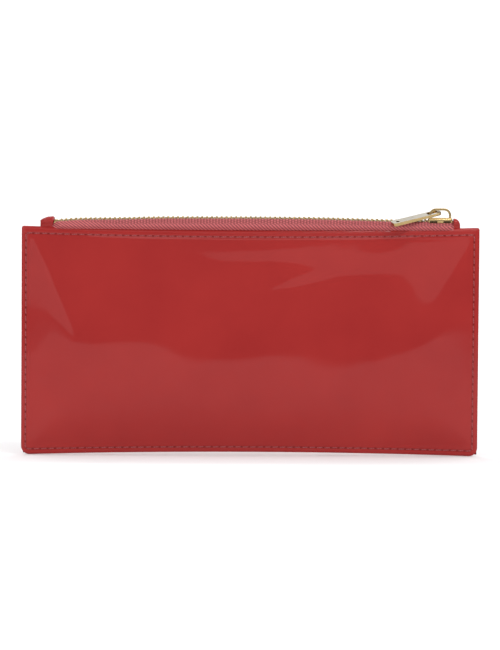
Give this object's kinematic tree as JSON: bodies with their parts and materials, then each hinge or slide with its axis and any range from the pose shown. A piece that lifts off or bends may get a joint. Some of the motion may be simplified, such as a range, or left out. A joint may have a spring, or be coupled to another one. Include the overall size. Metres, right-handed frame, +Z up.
{
  "type": "zip wallet",
  "caption": "Flat oblong patent leather wallet, closed along its top edge by a metal zip with a bar pull, with folded leather end tabs.",
  "frame": {"origin": "middle of the bottom edge, between the two halves, at the height of the two bottom corners", "axes": "+X along the zip towards its closed end, +Y to the rear, +Z up towards the zip"},
  "size_m": [0.2, 0.0138, 0.1083],
  "materials": {
    "patent_leather": "gloss",
    "pocket_leather": "satin",
    "lining_cloth": "matt",
    "zip_tape": "matt",
    "thread": "satin",
    "stiffener_board": "matt",
    "gold_metal": "polished"
  },
  "bodies": {
    "rear_half": {"rear_panel": "patent_leather", "rear_stiffener": "stiffener_board", "rear_lining": "lining_cloth", "rear_zip_tape": "zip_tape", "rear_teeth": "gold_metal", "rear_edge_stitching": "thread", "rear_zip_stitching": "thread", "card_slot_top": "pocket_leather", "card_slot_middle": "pocket_leather", "card_slot_bottom": "pocket_leather", "card_slot_stitching": "thread", "left_end_tab": "patent_leather", "right_end_tab": "patent_leather", "bottom_stop": "gold_metal", "rear_top_stop": "gold_metal"},
    "front_half": {"front_panel": "patent_leather", "front_stiffener": "stiffener_board", "front_lining": "lining_cloth", "front_slip_pocket": "lining_cloth", "front_zip_tape": "zip_tape", "front_teeth": "gold_metal", "front_edge_stitching": "thread", "front_zip_stitching": "thread", "front_top_stop": "gold_metal"},
    "slider": {"slider_body": "gold_metal", "slider_bridge": "gold_metal"},
    "pull": {"pull": "gold_metal"}
  },
  "joints": [
    {"name": "zip_slide", "type": "slide", "parent": "rear_half", "child": "slider", "axis": [-1, 0, 0], "range_m": [0, 0.146], "deforming": ["rear_teeth"]},
    {"name": "mouth_open", "type": "hinge", "parent": "rear_half", "child": "front_half", "pos_m": [0, 0, 0], "axis": [1, 0, 0], "range_deg": [0, 10], "deforming": ["front_zip_tape", "front_teeth"]},
    {"name": "pull_swing", "type": "hinge", "parent": "slider", "child": "pull", "pos_m": [0.0822, 0.0005, 0.1066], "axis": [-0.3415, 0.9002, 0.2701], "range_deg": [0, 140]}
  ],
  "couplings": [
    {"joint": "mouth_open", "follows": "zip_slide", "rad_per_m": 1.195}
  ]
}
